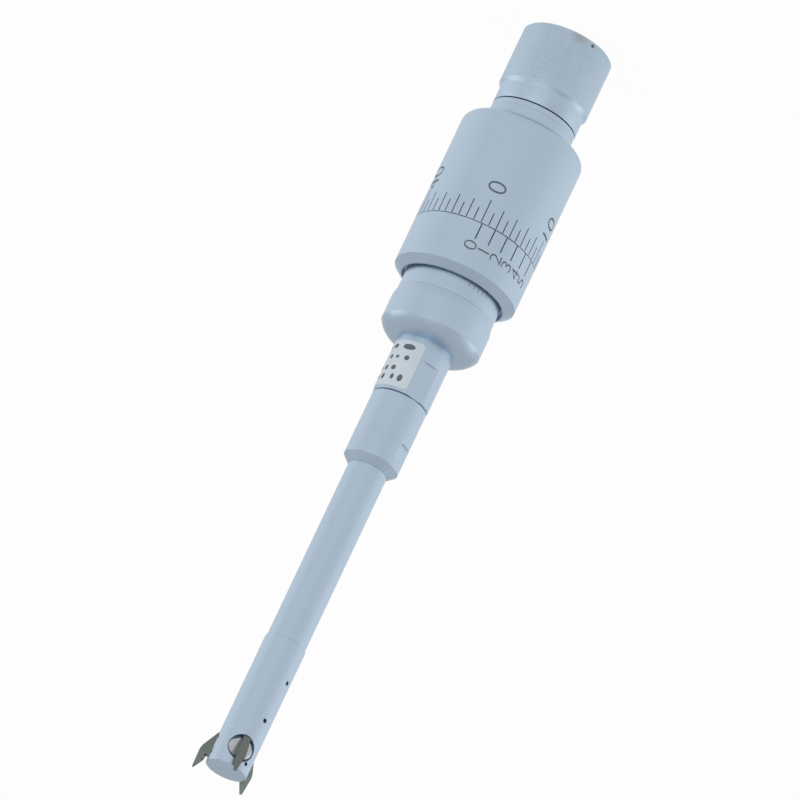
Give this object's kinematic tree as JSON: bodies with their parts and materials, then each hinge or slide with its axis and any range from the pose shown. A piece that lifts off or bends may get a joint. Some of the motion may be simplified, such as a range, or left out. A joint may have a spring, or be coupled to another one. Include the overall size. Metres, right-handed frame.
{
  "type": "bore micrometer",
  "caption": "Long internal micrometer: a slim head with radial anvils on a tube, a graduated drum with a vernier ring, and a knurled ratchet knob.",
  "frame": {"origin": "on the instrument's axis, in the plane of the knob's flat end", "axes": "+Z along the axis from the knob to the measuring tip; -Y through the first anvil"},
  "size_m": [0.0308, 0.0308, 0.2032],
  "materials": {
    "satin_chrome": "satin chrome plate, pale blue-grey",
    "knurled_chrome": "satin chrome over a fine straight knurl",
    "ground_steel": "ground bright steel",
    "hard_metal": "dark sintered hard metal",
    "dark_steel": "blackened steel",
    "spring_steel": "drawn spring wire",
    "bronze": "turned bronze",
    "paper_label": "white coated paper"
  },
  "bodies": {
    "frame": {"measuring_head": "satin_chrome", "extension_tube": "satin_chrome", "rod_bush": "bronze", "lower_sleeve": "satin_chrome", "collar_body": "satin_chrome", "scale_sleeve": "satin_chrome", "spindle_nut": "bronze", "adjusting_nut": "dark_steel", "anvil_guide_pins": "dark_steel", "cone_key_pin": "dark_steel", "head_lock_pin": "dark_steel", "anvil_return_ring": "spring_steel", "rod_return_spring": "spring_steel", "number_label": "paper_label"},
    "vernier": {"vernier_ring": "satin_chrome", "vernier_key_screw": "dark_steel", "vernier_snap_ring": "spring_steel"},
    "drum": {"thimble": "satin_chrome", "thimble_clamp_ring": "satin_chrome", "micrometer_screw": "ground_steel", "ratchet_hub": "dark_steel", "ratchet_screw": "dark_steel"},
    "knob": {"ratchet_knob": "knurled_chrome", "ratchet_plunger": "dark_steel", "ratchet_spring": "spring_steel"},
    "cone": {"measuring_cone": "ground_steel", "push_rod": "ground_steel"},
    "anvil_a": {"anvil_1": "ground_steel", "anvil_blade_1": "hard_metal"},
    "anvil_b": {"anvil_2": "ground_steel", "anvil_blade_2": "hard_metal"},
    "anvil_c": {"anvil_3": "ground_steel", "anvil_blade_3": "hard_metal"}
  },
  "joints": [
    {"name": "thimble_turn", "type": "hinge", "parent": "vernier", "child": "drum", "pos_m": [0, 0, 0.04], "axis": [0, 0, 1], "range_deg": [-1152.5, 288.5]},
    {"name": "reading_slide", "type": "slide", "parent": "frame", "child": "vernier", "axis": [0, 0, 1], "range_m": [-0.0016, 0.0004]},
    {"name": "cone_slide", "type": "slide", "parent": "frame", "child": "cone", "axis": [0, 0, 1], "range_m": [-0.00161, 0.00041], "deforming": ["rod_return_spring"]},
    {"name": "ratchet_turn", "type": "hinge", "parent": "drum", "child": "knob", "pos_m": [0, 0, 0.01], "axis": [0, 0, 1], "continuous": true},
    {"name": "anvil_slide_1", "type": "slide", "parent": "frame", "child": "anvil_a", "axis": [0, -1, 0], "range_m": [-0.00081, 0.00021], "deforming": ["anvil_return_ring"]},
    {"name": "anvil_slide_2", "type": "slide", "parent": "frame", "child": "anvil_b", "axis": [0.866, 0.5, 0], "range_m": [-0.00081, 0.00021]},
    {"name": "anvil_slide_3", "type": "slide", "parent": "frame", "child": "anvil_c", "axis": [-0.866, 0.5, 0], "range_m": [-0.00081, 0.00021]}
  ],
  "couplings": [
    {"joint": "thimble_turn", "follows": "reading_slide", "rad_per_m": 12566},
    {"joint": "cone_slide", "follows": "reading_slide", "ratio": 1},
    {"joint": "anvil_slide_1", "follows": "reading_slide", "ratio": 0.5},
    {"joint": "anvil_slide_2", "follows": "reading_slide", "ratio": 0.5},
    {"joint": "anvil_slide_3", "follows": "reading_slide", "ratio": 0.5}
  ]
}
